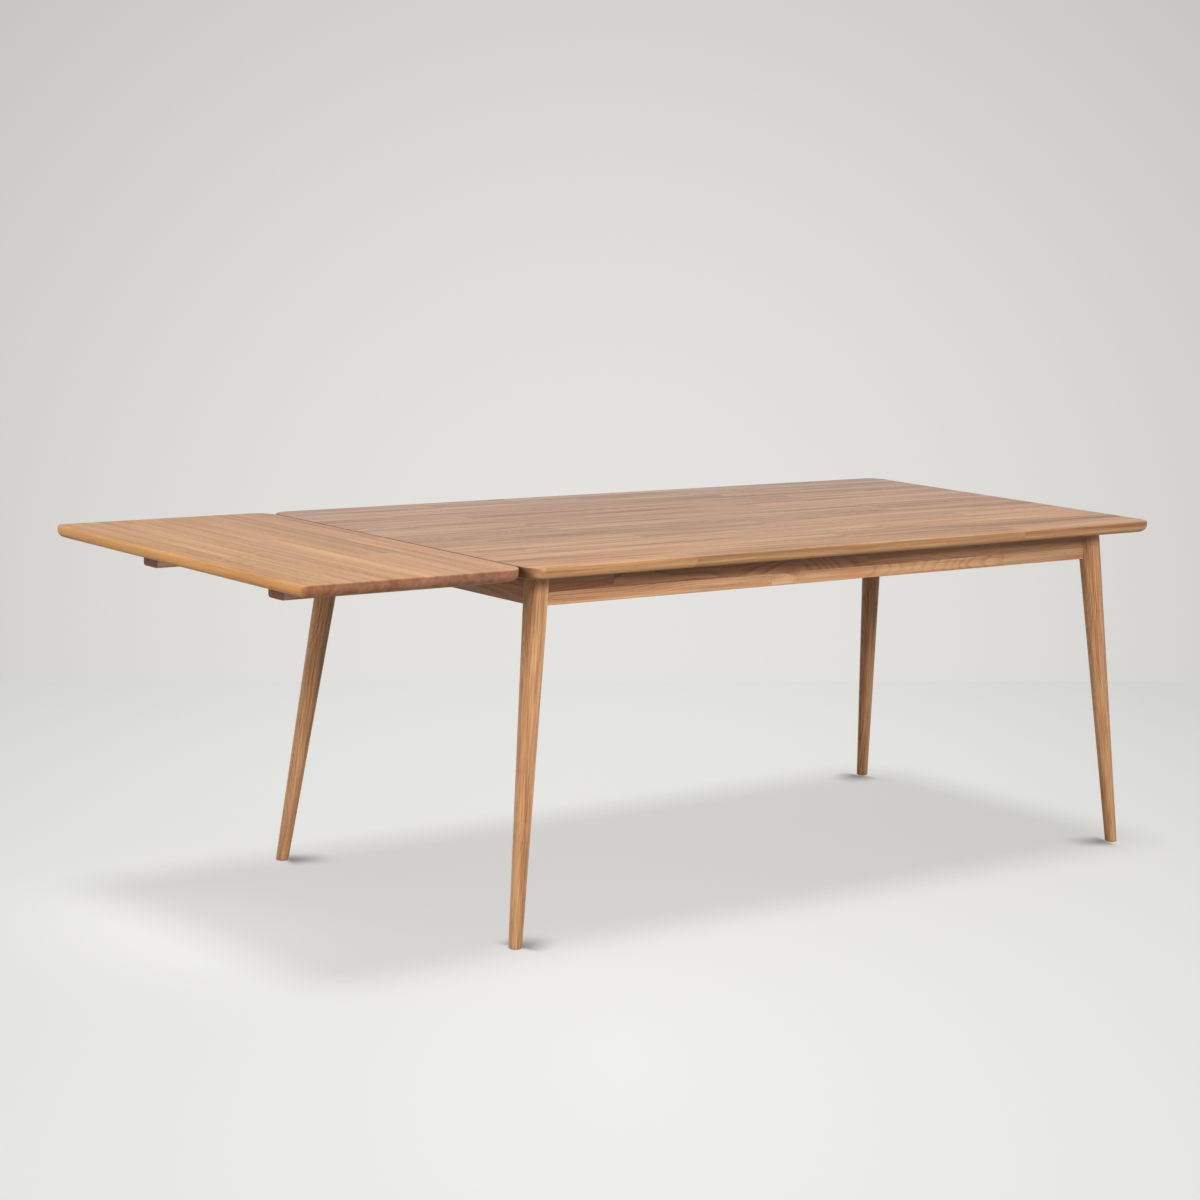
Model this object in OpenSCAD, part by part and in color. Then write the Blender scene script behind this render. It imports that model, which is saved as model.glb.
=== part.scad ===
// Oak dining table with a loose extension leaf on two pull-out bearers.
// X runs along the table with the leaf at the -X end, Y across it, Z up from the floor.
// The origin is on the floor, under the middle of the table with its leaf.

/* [Main top] */
// Height of the table from the floor
table_h = 750; // [700:5:800]
// Length of the main top
top_l = 1800; // [1600:10:2400]
// Width of the main top and of the leaf
top_w = 900; // [800:10:1100]
// Thickness of the main top and of the leaf
top_t = 25; // [24:1:40]
// Radius of the corners at the right end, seen from above
corner_r = 38; // [20:1:80]
// Radius of the corners on both sides of the joint
joint_corner_r = 45; // [20:1:80]
// Rounding of the upper edge
edge_r_up = 3; // [2:0.5:8]
// Rounding of the upper edges where the leaf meets the main top
joint_edge_r = 1.5; // [1:0.5:3]
// Rounding of the lower edge
edge_r_low = 16; // [3:0.5:16]

/* [Extension leaf] */
// Length of the leaf along the table
leaf_l = 504; // [400:2:600]
// Radius of the leaf's outer corners
leaf_corner_r = 17; // [17:1:60]
// Gap between the leaf and the main top
joint_gap = 2; // [1:0.5:5]
// Diameter of the pins that line the leaf up
pin_d = 10; // [6:1:12]
// Depth of each pin in the leaf
pin_hold = 30; // [20:1:50]
// Length of each pin that stands out of the leaf
pin_out = 20; // [12:1:40]
// Height of the pins above the underside of the leaf
pin_rise = 15; // [12:0.5:17]
// Distance of the outer pins from the side of the leaf
pin_in = 120; // [60:5:180]
// Running clearance round a pin in the main top
pin_fit = 0.3; // [0.2:0.05:0.6]

/* [Legs] */
// Diameter of a leg at the floor
leg_foot_d = 26.6; // [26:0.2:36]
// Diameter of a leg at the underside of the top
leg_top_d = 50; // [50:0.2:60]
// Inset of the foot's centre from the end of the main top
leg_foot_in_x = 29; // [20:1:90]
// Inset of the foot's centre from the side of the main top
leg_foot_in_y = 40; // [20:1:90]
// Inset of the leg's centre from the end, at the underside
leg_top_in_x = 103; // [98:1:106]
// Inset of the leg's centre from the side, at the underside
leg_top_in_y = 106; // [101:1:109]
// Diameter of the glide under a foot
glide_d = 20; // [14:1:24]
// Thickness of the glide's disc
glide_t = 3; // [2:0.5:5]
// Height that the glide stands out of the foot
glide_proud = 1; // [0.5:0.5:2]
// Diameter of the glide's nail
glide_nail_d = 2.6; // [2:0.1:4]
// Length of the glide's nail
glide_nail_l = 15; // [10:1:25]

/* [Aprons and rails] */
// Height of the aprons and the cross rails
apron_h = 68; // [64:1:90]
// Thickness of the aprons and the cross rails
apron_t = 22; // [20:1:24]
// Inset of the end aprons' outer faces from the end of the top
apron_in_x = 96; // [94:1:98]
// Inset of the long aprons' outer faces from the side of the top
apron_in_y = 99; // [97:1:101]
// Distance of the guide rail's middle from the left end of the main top
guide_rail_in = 520; // [400:10:600]

/* [Bearers] */
// Width of a bearer
bearer_w = 54; // [40:1:60]
// Depth of a bearer
bearer_h = 36; // [26:1:42]
// Rounding of a bearer's lower edges
bearer_r = 7; // [3:0.5:12]
// Rounding of a bearer's upper edges
bearer_ease = 2; // [1:0.5:3]
// Distance of a bearer's middle from the side of the top
bearer_in_y = 225; // [222:1:300]
// Inset of the bearers' ends from the leaf's outer edge, when pulled out
bearer_in = 89; // [40:1:140]
// Length that stays outside the end apron when a bearer is pushed in
grip_l = 14; // [5:1:40]
// Length of a bearer past its stop peg
bearer_tail = 20; // [12:1:60]
// Sliding clearance round a bearer
slide_fit = 0.4; // [0.2:0.1:1]
// Diameter of the stop peg
stop_d = 10; // [8:1:14]
// Depth of the stop peg in its bearer
stop_hold = 22; // [14:1:24]
// Height that the stop peg stands below its bearer
stop_out = 14; // [8:1:24]
// Play between a stop and what it meets
stop_play = 0.5; // [0.3:0.1:2]

/* [Corner joints] */
// Width of the gap in an apron's corner that the corner block leaves to the leg
block_in = 34; // [28:1:40]
// Thickness of a corner block
block_t = 22; // [18:1:26]
// Height of a corner block
block_h = 50; // [44:1:56]
// Diameter of a hanger bolt
bolt_d = 8; // [6:1:8]
// Depth of a hanger bolt in its leg
bolt_bite = 30; // [20:1:34]
// Length of a hanger bolt past its nut
bolt_spare = 4; // [2:1:10]
// Clearance round a hanger bolt in the wood that it passes
bolt_fit = 0.5; // [0.3:0.1:1]
// Diameter of a washer
washer_d = 20; // [16:1:24]
// Thickness of a washer
washer_t = 1.6; // [1:0.2:3]
// Width of a nut over its corners
nut_d = 15; // [12:0.5:16]
// Height of a nut
nut_t = 6.5; // [5:0.5:8]

/* [Dowels, screws and clips] */
// Diameter of the dowels in aprons and rails
dowel_d = 8; // [6:1:8]
// Length of a dowel between a leg and an apron
dowel_l = 36; // [24:2:44]
// Depth of a rail's dowel in the apron
rail_dowel_bite = 12; // [8:1:14]
// Depth of a rail's dowel in the rail
rail_dowel_hold = 18; // [12:1:40]
// Height of the lowest dowel above the lower edge
dowel_low = 14; // [11:1:14]
// Distance between the two dowels of an end
dowel_pitch = 30; // [30:1:32]
// Height of an end apron's dowels above a long apron's
dowel_step = 10; // [9:0.5:10]
// Diameter of a screw's shank
screw_d = 4; // [3:0.5:4.5]
// Diameter of a screw's head
screw_head_d = 8; // [6.5:0.5:9]
// Height of a screw's head
screw_head_t = 2.6; // [2:0.2:3.5]
// Length of a corner block screw below its head
block_screw_l = 28; // [24:1:32]
// Distance of a corner block screw's head from the apron
block_screw_seat = 14; // [12:1:16]
// Height of a block screw above or below the middle of the block
block_screw_rise = 15; // [12:1:16]
// Length of a clip screw below its head
clip_screw_l = 16; // [12:1:18]
// Thickness of a clip's plate
clip_t = 1.6; // [1.2:0.2:2.4]
// Width of a clip
clip_w = 28; // [20:1:36]
// Depth of a clip's tongue in the apron
clip_bite = 8; // [5:1:10]
// Distance of a clip's riser from the apron
clip_gap = 5; // [3:0.5:8]
// Length of a clip's foot under the top
clip_foot = 22; // [18:1:30]
// Depth of a clip's tongue below the underside of the top
clip_drop = 12; // [8:0.5:16]
// Distance of a clip's screw from the apron
clip_screw_in = 18; // [14:1:22]
// Distance of the first clip from the end of the main top
clip_first = 240; // [220:5:280]
// Distance of the right end apron's clips from the side of the top
clip_end_in = 270; // [230:5:340]
// Clearance round a dowel, peg, screw or clip in its hole
peg_fit = 0.1; // [0.05:0.05:0.2]
// Clearance where an apron's hollow end meets a leg
cope_fit = 0.2; // [0.1:0.05:0.4]

/* [Hidden] */
$fn = 64;

// Colours of the finished surfaces
oak_top = "#c79f76";
oak_leaf = "#c2966b";
oak_leg = "#b5834f";
oak_apron = "#b08050";
oak_bearer = "#8f6238";
beech = "#d2b48c";
zinc = "#b4b8bb";
nylon = "#4a4640";

// Places along the table
total_l = leaf_l + joint_gap + top_l;
leaf_x0 = -total_l / 2;
top_x0 = total_l / 2 - top_l;
top_z0 = table_h - top_t;
apron_z0 = top_z0 - apron_h;
apron_mid = apron_z0 + apron_h / 2;

// The bearers, pulled out
bearer_x0 = leaf_x0 + bearer_in;
guide_x = top_x0 + guide_rail_in - apron_t / 2;
stop_x = guide_x + apron_t + stop_play + stop_d / 2;
bearer_x1 = stop_x + stop_d / 2 + bearer_tail;
bearer_z1 = top_z0 - slide_fit;
bearer_z0 = bearer_z1 - bearer_h;
bearer_travel = top_x0 + apron_in_x - grip_l - bearer_x0;
stop_rail_x = bearer_x1 + bearer_travel + stop_play;

// Places across the table
bearer_y = top_w / 2 - bearer_in_y;
pin_y = top_w / 2 - pin_in;
clip_end_y = top_w / 2 - clip_end_in;

// Places of the clips along a long apron: near its ends, midway between the cross
// rails, and midway between the stop rail and the last clip
clip_x0 = top_x0 + clip_first;
clip_x3 = top_x0 + top_l - clip_first;
stop_mid = stop_rail_x + apron_t / 2;
clip_xs = [clip_x0, (guide_x + apron_t / 2 + stop_mid) / 2, (stop_mid + clip_x3) / 2, clip_x3];

// The corner joints, in insets from a corner of the main top
corner_x = apron_in_x + apron_t;
corner_y = apron_in_y + apron_t;
block_out = block_in + block_t * sqrt(2);
block_face = block_in / sqrt(2) + block_t;
block_z0 = apron_mid - block_h / 2;
block_screw_in = block_in + screw_head_d;

// Reach of a large cut, and spare length of a cut or cone past the wood
cut = 60;
over = 10;

// Centre and radius of a leg at height z, in insets from a corner of the main top
function leg_x(z) = leg_foot_in_x + (leg_top_in_x - leg_foot_in_x) * z / top_z0;
function leg_y(z) = leg_foot_in_y + (leg_top_in_y - leg_foot_in_y) * z / top_z0;
function leg_r(z) = (leg_foot_d + (leg_top_d - leg_foot_d) * z / top_z0) / 2;

// Height of dowel k in the end of a long apron, or of an end apron
function dowel_z(k, lift) = apron_z0 + dowel_low + lift + k * dowel_pitch;

// Where a dowel's line leaves the leg towards the apron
function long_face(z) =
    leg_x(z) + sqrt(pow(leg_r(z), 2) - pow(apron_in_y + apron_t / 2 - leg_y(z), 2));
function end_face(z) =
    leg_y(z) + sqrt(pow(leg_r(z), 2) - pow(apron_in_x + apron_t / 2 - leg_x(z), 2));

// Puts its children at a corner of the main top: +X and +Y then point inwards
module at_corner(right, back) {
    translate([top_x0 + right * top_l, (back - 0.5) * top_w, 0])
        mirror([right, 0, 0])
            mirror([0, back, 0])
                children();
}

module at_corners() {
    for (right = [0, 1], back = [0, 1]) at_corner(right, back) children();
}

// The same shape at the front and at the back of the table
module both_sides() {
    children();
    mirror([0, 1, 0]) children();
}

// Quarter of a disc
module quarter(r) {
    intersection() {
        circle(r);
        square(r);
    }
}

// Half section of a board's edge: large rounding below, small rounding above
module edge_profile(depth, up) {
    square([depth - edge_r_low, top_t]);
    translate([0, edge_r_low]) square([depth, top_t - edge_r_low - up]);
    translate([0, edge_r_low]) square([depth - up, top_t - edge_r_low]);
    translate([depth - edge_r_low, edge_r_low]) mirror([0, 1]) quarter(edge_r_low);
    translate([depth - up, top_t - up]) quarter(up);
}

// Flat board with rounded edges, from its corner at the origin. Each end has its own
// corner radius and upper rounding, and the long sides' strips are as deep as the
// smaller corner radius.
module board(l, w, left_r, right_r, left_up, right_up) {
    rim = min(left_r, right_r);
    straight = l - left_r - right_r;
    translate([left_r, rim, 0]) cube([straight, w - 2 * rim, top_t]);
    for (back = [0, 1])
        translate([left_r, back * w, 0])
            mirror([0, back, 0])
                translate([0, rim, 0])
                    mirror([0, 1, 0])
                        rotate([90, 0, 90])
                            linear_extrude(straight) edge_profile(rim, edge_r_up);
    board_end(w, left_r, left_up);
    translate([l, 0, 0]) mirror([1, 0, 0]) board_end(w, right_r, right_up);
}

// The -X end of a board, with its two rounded corners
module board_end(w, r, up) {
    translate([r, 0, 0])
        mirror([1, 0, 0])
            translate([0, w - r, 0])
                rotate([90, 0, 0])
                    linear_extrude(w - 2 * r) edge_profile(r, up);
    for (back = [0, 1])
        translate([0, back * w, 0])
            mirror([0, back, 0])
                translate([r, r, 0])
                    rotate([0, 0, 180])
                        rotate_extrude(angle = 90) edge_profile(r, up);
}

// Leaf pins along X: they start inside the leaf and end in the main top
module pin_lines(start, r, l) {
    for (y = [-pin_y, 0, pin_y])
        translate([start, y, top_z0 + pin_rise])
            rotate([0, 90, 0])
                cylinder(h = l, r = r);
}

module leaf_pins() {
    tip = pin_d / 4;
    start = top_x0 - joint_gap - pin_hold;
    color(beech) {
        pin_lines(start, pin_d / 2, pin_hold + pin_out - tip);
        for (y = [-pin_y, 0, pin_y])
            translate([start + pin_hold + pin_out - tip, y, top_z0 + pin_rise])
                rotate([0, 90, 0])
                    cylinder(h = tip, r1 = pin_d / 2, r2 = pin_d / 2 - tip);
    }
}

module main_top() {
    color(oak_top) difference() {
        translate([top_x0, -top_w / 2, top_z0])
            board(top_l, top_w, joint_corner_r, corner_r, joint_edge_r, edge_r_up);
        pin_lines(top_x0 - over, pin_d / 2 + pin_fit, over + pin_out);
        each_clip()
            translate([0, 0, -clip_t])
                cylinder(h = clip_screw_l + peg_fit, d = screw_d + 2 * peg_fit);
    }
}

module extension_leaf() {
    color(oak_leaf) difference() {
        translate([leaf_x0, -top_w / 2, top_z0])
            board(leaf_l, top_w, leaf_corner_r, joint_corner_r, edge_r_up, joint_edge_r);
        pin_lines(top_x0 - joint_gap - pin_hold, pin_d / 2 + peg_fit, pin_hold + over);
    }
}

// The whole cone of a leg, longer than the leg at both ends, with its seam outwards
module leg_cone(grow) {
    dx = leg_top_in_x - leg_foot_in_x;
    dy = leg_top_in_y - leg_foot_in_y;
    l = sqrt(dx * dx + dy * dy + top_z0 * top_z0);
    taper = (leg_top_d - leg_foot_d) / 2 / l;
    translate([leg_foot_in_x, leg_foot_in_y, 0])
        rotate([0, acos(top_z0 / l), atan2(dy, dx)])
            rotate([0, 0, 180]) translate([0, 0, -over])
                cylinder(
                    h = l + 2 * over,
                    r1 = leg_foot_d / 2 + grow - over * taper,
                    r2 = leg_top_d / 2 + grow + over * taper
                );
}

// Dowels between a leg and a long apron, along X
module long_dowels(fit, spare) {
    for (k = [0, 1]) {
        z = dowel_z(k, 0);
        translate([long_face(z) - dowel_l / 2 - spare, apron_in_y + apron_t / 2, z])
            rotate([0, 90, 0])
                cylinder(h = dowel_l + 2 * spare, r = dowel_d / 2 + fit);
    }
}

// Dowels between a leg and an end apron, along Y
module end_dowels(fit, spare) {
    for (k = [0, 1]) {
        z = dowel_z(k, dowel_step);
        translate([apron_in_x + apron_t / 2, end_face(z) - dowel_l / 2 - spare, z])
            rotate([-90, 0, 0])
                cylinder(h = dowel_l + 2 * spare, r = dowel_d / 2 + fit);
    }
}

// The line of a hanger bolt: its +Z runs from the leg to the middle of the table
module bolt_line() {
    translate([corner_x, corner_y, apron_mid]) rotate([0, 90, 45]) children();
}

module bolt_hole(fit) {
    bolt_line()
        translate([0, 0, -bolt_bite - fit])
            cylinder(h = bolt_bite + block_face + cut, r = bolt_d / 2 + fit);
}

module leg() {
    color(oak_leg) difference() {
        intersection() {
            leg_cone(0);
            translate([-cut, -cut, glide_proud])
                cube([corner_x + 2 * cut, corner_y + 2 * cut, top_z0 - glide_proud]);
        }
        long_dowels(peg_fit, 1);
        end_dowels(peg_fit, 1);
        bolt_hole(peg_fit);
        translate([leg_foot_in_x, leg_foot_in_y, 0]) {
            cylinder(h = glide_t + peg_fit, r = glide_d / 2 + peg_fit);
            cylinder(h = glide_t + glide_nail_l + peg_fit, r = glide_nail_d / 2 + peg_fit);
        }
    }
}

module front_left_leg() {
    at_corner(0, 0) leg();
}

module front_right_leg() {
    at_corner(1, 0) leg();
}

module back_left_leg() {
    at_corner(0, 1) leg();
}

module back_right_leg() {
    at_corner(1, 1) leg();
}

module foot_glides() {
    color(nylon) at_corners()
        translate([leg_foot_in_x, leg_foot_in_y, 0]) {
            cylinder(h = glide_t, d = glide_d);
            cylinder(h = glide_t + glide_nail_l, d = glide_nail_d);
        }
}

// Takes away one side of the diagonal through an apron corner, so that the two
// aprons meet in a mitre behind the leg
module mitre_cut(side) {
    translate([corner_x, corner_y, apron_z0 - over])
        rotate([0, 0, 45])
            translate([-cut, side > 0 ? -cope_fit / 2 : cope_fit / 2 - cut, 0])
                cube([2 * cut, cut, apron_h + 2 * over]);
}

// Screws of a corner block: +Z of each points from its head to its tip
module block_screw_lines() {
    for (rise = [-1, 1]) {
        z = apron_mid + rise * block_screw_rise;
        translate([corner_x + block_screw_in, corner_y + block_screw_seat, z])
            rotate([90, 0, 0])
                children();
        translate([corner_x + block_screw_seat, corner_y + block_screw_in, z])
            rotate([0, -90, 0])
                children();
    }
}

module screw(l) {
    translate([0, 0, -screw_head_t]) cylinder(h = screw_head_t, d = screw_head_d);
    cylinder(h = l - screw_d, d = screw_d);
    translate([0, 0, l - screw_d]) cylinder(h = screw_d, d1 = screw_d, d2 = 0.5);
}

module screw_hole(l) {
    cylinder(h = l + 1, r = screw_d / 2 + peg_fit);
}

// Slot for a clip's tongue, and the clip itself: +Y points away from the apron's
// inner face, and the origin is on that face at the underside of the top
module clip_slot() {
    translate([-clip_w / 2 - 1, -clip_bite - 1, -clip_drop - clip_t - peg_fit])
        cube([clip_w + 2, clip_bite + 1 + over, clip_t + 2 * peg_fit]);
}

module clip() {
    z0 = -clip_drop - clip_t;
    y1 = clip_gap + clip_t;
    difference() {
        translate([-clip_w / 2, 0, 0])
            rotate([90, 0, 90])
                linear_extrude(clip_w)
                    polygon([
                        [-clip_bite, z0], [y1, z0], [y1, -clip_t],
                        [clip_gap + clip_foot, -clip_t], [clip_gap + clip_foot, 0],
                        [clip_gap, 0], [clip_gap, -clip_drop], [-clip_bite, -clip_drop]
                    ]);
        translate([0, clip_screw_in, -2 * clip_t])
            cylinder(h = 3 * clip_t, r = screw_d / 2 + peg_fit);
    }
}

// Places of the clips, in a clip's own frame
module long_clips() {
    for (x = clip_xs) translate([x, -top_w / 2 + corner_y, top_z0]) children();
}

module left_clip() {
    translate([top_x0 + corner_x, 0, top_z0]) rotate([0, 0, -90]) children();
}

module right_clips() {
    for (y = [-clip_end_y, clip_end_y])
        translate([top_x0 + top_l - corner_x, y, top_z0])
            rotate([0, 0, 90])
                children();
}

// Screw places of all clips, on the underside of the top
module each_clip() {
    both_sides() long_clips() translate([0, clip_screw_in, 0]) children();
    left_clip() translate([0, clip_screw_in, 0]) children();
    right_clips() translate([0, clip_screw_in, 0]) children();
}

// Dowels of a cross rail whose left face is at x, along Y at the front
module rail_dowel_lines(x, fit, spare) {
    for (k = [0, 1])
        translate([x + apron_t / 2, -top_w / 2 + corner_y - rail_dowel_bite - spare, dowel_z(k, 0)])
            rotate([-90, 0, 0])
                cylinder(
                    h = rail_dowel_bite + rail_dowel_hold + 2 * spare,
                    r = dowel_d / 2 + fit
                );
}

module long_apron() {
    inset = leg_x(apron_mid);
    color(oak_apron) difference() {
        translate([top_x0 + inset, -top_w / 2 + apron_in_y, apron_z0])
            cube([top_l - 2 * inset, apron_t, apron_h]);
        for (right = [0, 1]) at_corner(right, 0) {
            leg_cone(cope_fit);
            long_dowels(peg_fit, 1);
            bolt_hole(bolt_fit);
            mitre_cut(1);
            block_screw_lines() screw_hole(block_screw_l);
        }
        long_clips() clip_slot();
        rail_dowel_lines(guide_x, peg_fit, 1);
        rail_dowel_lines(stop_rail_x, peg_fit, 1);
    }
}

module front_apron() {
    long_apron();
}

module back_apron() {
    mirror([0, 1, 0]) long_apron();
}

// An end apron before its notches and slots
module end_apron(right) {
    inset = leg_y(apron_mid);
    difference() {
        translate([top_x0 + right * (top_l - 2 * apron_in_x - apron_t) + apron_in_x, 0, apron_z0])
            translate([0, -top_w / 2 + inset, 0])
                cube([apron_t, top_w - 2 * inset, apron_h]);
        for (back = [0, 1]) at_corner(right, back) {
            leg_cone(cope_fit);
            end_dowels(peg_fit, 1);
            bolt_hole(bolt_fit);
            mitre_cut(-1);
            block_screw_lines() screw_hole(block_screw_l);
        }
    }
}

// Notches, open upwards, in which the bearers slide through a piece at x
module bearer_notches(x) {
    both_sides()
        translate([x - over, bearer_y - bearer_w / 2 - slide_fit, bearer_z0 - slide_fit])
            cube([apron_t + 2 * over, bearer_w + 2 * slide_fit, bearer_h + over]);
}

module left_end_apron() {
    color(oak_apron) difference() {
        end_apron(0);
        bearer_notches(top_x0 + apron_in_x);
        left_clip() clip_slot();
    }
}

module right_end_apron() {
    color(oak_apron) difference() {
        end_apron(1);
        right_clips() clip_slot();
    }
}

// A cross rail between the long aprons, with its left face at x
module cross_rail(x) {
    color(oak_apron) difference() {
        translate([x, -top_w / 2 + corner_y, apron_z0])
            cube([apron_t, top_w - 2 * corner_y, apron_h]);
        both_sides() rail_dowel_lines(x, peg_fit, 1);
    }
}

module guide_rail() {
    color(oak_apron) difference() {
        cross_rail(guide_x);
        bearer_notches(guide_x);
    }
}

module stop_rail() {
    cross_rail(stop_rail_x);
}

// Section of a bearer: large rounding below, eased edges above
module bearer_section() {
    half = bearer_w / 2;
    for (side = [0, 1]) mirror([side, 0]) {
        square([half - bearer_r, bearer_h]);
        translate([0, bearer_r]) square([half, bearer_h - bearer_r - bearer_ease]);
        translate([0, bearer_r]) square([half - bearer_ease, bearer_h - bearer_r]);
        translate([half - bearer_r, bearer_r]) mirror([0, 1]) quarter(bearer_r);
        translate([half - bearer_ease, bearer_h - bearer_ease]) quarter(bearer_ease);
    }
}

module stop_peg(fit) {
    translate([stop_x, -bearer_y, bearer_z0 - stop_out])
        cylinder(h = stop_out + stop_hold + fit, r = stop_d / 2 + fit);
}

module bearer() {
    color(oak_bearer) difference() {
        translate([bearer_x0, -bearer_y, bearer_z0])
            rotate([90, 0, 90])
                linear_extrude(bearer_x1 - bearer_x0) bearer_section();
        stop_peg(peg_fit);
    }
}

module front_bearer() {
    bearer();
}

module back_bearer() {
    mirror([0, 1, 0]) bearer();
}

module front_bearer_stop() {
    color(beech) stop_peg(0);
}

module back_bearer_stop() {
    mirror([0, 1, 0]) front_bearer_stop();
}

module corner_block() {
    color(beech) difference() {
        translate([corner_x, corner_y, block_z0])
            linear_extrude(block_h)
                polygon([[block_in, 0], [block_out, 0], [0, block_out], [0, block_in]]);
        bolt_hole(bolt_fit);
        block_screw_lines() {
            screw_hole(block_screw_l);
            translate([0, 0, -cut]) cylinder(h = cut, r = screw_head_d / 2 + bolt_fit);
        }
    }
}

module front_left_corner_block() {
    at_corner(0, 0) corner_block();
}

module front_right_corner_block() {
    at_corner(1, 0) corner_block();
}

module back_left_corner_block() {
    at_corner(0, 1) corner_block();
}

module back_right_corner_block() {
    at_corner(1, 1) corner_block();
}

module hanger_bolts() {
    l = bolt_bite + block_face + washer_t + nut_t + bolt_spare;
    color(zinc) at_corners() bolt_line()
        translate([0, 0, -bolt_bite])
            cylinder(h = l, d = bolt_d);
}

module bolt_washers() {
    color(zinc) at_corners() bolt_line()
        translate([0, 0, block_face])
            difference() {
                cylinder(h = washer_t, d = washer_d);
                translate([0, 0, -1]) cylinder(h = washer_t + 2, r = bolt_d / 2 + peg_fit);
            }
}

module bolt_nuts() {
    color(zinc) at_corners() bolt_line()
        translate([0, 0, block_face + washer_t])
            difference() {
                cylinder(h = nut_t, d = nut_d, $fn = 6);
                translate([0, 0, -1]) cylinder(h = nut_t + 2, r = bolt_d / 2 + peg_fit);
            }
}

module apron_dowels() {
    color(beech) at_corners() {
        long_dowels(0, 0);
        end_dowels(0, 0);
    }
}

module rail_dowels() {
    color(beech) both_sides() {
        rail_dowel_lines(guide_x, 0, 0);
        rail_dowel_lines(stop_rail_x, 0, 0);
    }
}

module block_screws() {
    color(zinc) at_corners() block_screw_lines() screw(block_screw_l);
}

module top_clips() {
    color(zinc) {
        both_sides() long_clips() clip();
        left_clip() clip();
        right_clips() clip();
    }
}

module clip_screws() {
    color(zinc) each_clip() translate([0, 0, -clip_t]) screw(clip_screw_l);
}

main_top();
extension_leaf();
leaf_pins();
front_left_leg();
front_right_leg();
back_left_leg();
back_right_leg();
foot_glides();
front_apron();
back_apron();
left_end_apron();
right_end_apron();
guide_rail();
stop_rail();
front_bearer();
back_bearer();
front_bearer_stop();
back_bearer_stop();
front_left_corner_block();
front_right_corner_block();
back_left_corner_block();
back_right_corner_block();
hanger_bolts();
bolt_washers();
bolt_nuts();
apron_dowels();
rail_dowels();
block_screws();
top_clips();
clip_screws();
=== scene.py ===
import math

import bpy
import numpy as np
from mathutils import Matrix, Vector


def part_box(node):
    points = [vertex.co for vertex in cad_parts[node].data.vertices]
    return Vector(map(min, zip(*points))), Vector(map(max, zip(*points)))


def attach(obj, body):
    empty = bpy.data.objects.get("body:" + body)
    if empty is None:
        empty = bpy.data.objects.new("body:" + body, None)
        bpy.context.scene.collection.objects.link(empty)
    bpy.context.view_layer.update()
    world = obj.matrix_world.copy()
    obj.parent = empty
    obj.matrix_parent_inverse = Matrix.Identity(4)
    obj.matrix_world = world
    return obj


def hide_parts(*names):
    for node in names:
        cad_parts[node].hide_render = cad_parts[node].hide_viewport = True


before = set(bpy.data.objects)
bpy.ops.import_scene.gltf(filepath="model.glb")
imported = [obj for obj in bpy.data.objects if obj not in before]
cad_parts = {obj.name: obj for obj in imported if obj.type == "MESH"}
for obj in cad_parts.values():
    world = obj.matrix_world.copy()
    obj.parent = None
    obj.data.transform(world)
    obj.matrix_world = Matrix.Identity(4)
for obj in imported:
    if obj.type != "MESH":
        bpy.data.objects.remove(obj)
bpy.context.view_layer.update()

# The camera of the photograph: a long lens at twice the table's height, looking down
# a little on the table's front left corner, and turned by about two degrees.
picture = 1200
focal = 2904.5
sensor_w = 36
camera_left, camera_before, camera_up = 3.3459, 4.2458, 1.5260
view_yaw, view_pitch, view_roll = 0.6924, 0.1524, 0.0385
top_low, top_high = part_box("main_top")
camera_place = Vector((top_low.x - camera_left, top_low.y - camera_before, camera_up))

ahead = Vector((
    math.sin(view_yaw) * math.cos(view_pitch),
    math.cos(view_yaw) * math.cos(view_pitch),
    -math.sin(view_pitch),
))
level_right = Vector((math.cos(view_yaw), -math.sin(view_yaw), 0))
level_up = level_right.cross(ahead)
view_right = level_right * math.cos(view_roll) + level_up * math.sin(view_roll)
view_up = level_up * math.cos(view_roll) - level_right * math.sin(view_roll)

camera = bpy.data.objects.new("camera", bpy.data.cameras.new("camera"))
camera.data.sensor_width = sensor_w
camera.data.lens = focal * sensor_w / picture
turned = Matrix((view_right, view_up, -ahead)).transposed().to_4x4()
camera.matrix_world = Matrix.Translation(camera_place) @ turned
bpy.context.scene.collection.objects.link(camera)
bpy.context.scene.camera = camera
bpy.context.scene.view_settings.view_transform = "Standard"

# The studio: a matt pale floor that ends in a level line behind the table, and a pale
# wall that is the world itself. Both are painted brightest in the middle and dimmer to
# the sides, as a painted pool of light.
floor_line = 681
bright_spot = (620, 1050)
wall_middle = (600, 620)
wall_dimmest = 0.94
floor_reach = 9
glow_half_depth, glow_half_width = 5.8, 2.15
glide_r = 0.010
# A painted shadow beside each foot: its darkness, length, width and lean, and its colour
foot_shade, foot_shade_l, foot_shade_w, foot_shade_lean = 0.75, 0.13, 0.065, 0.35
foot_shade_colour = "#5c5c58"
floor_glow = 0.62
floor_bounce = "#a4a4a2"
ambient_strength = 0.28


def tone(code):
    """An sRGB hex colour as linear RGBA: each channel through the sRGB curve."""
    channels = np.array([int(code[i:i + 2], 16) for i in (1, 3, 5)]) / 255
    low, high = channels / 12.92, ((channels + 0.055) / 1.055) ** 2.4
    return (*np.where(channels <= 0.04045, low, high).tolist(), 1)


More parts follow.
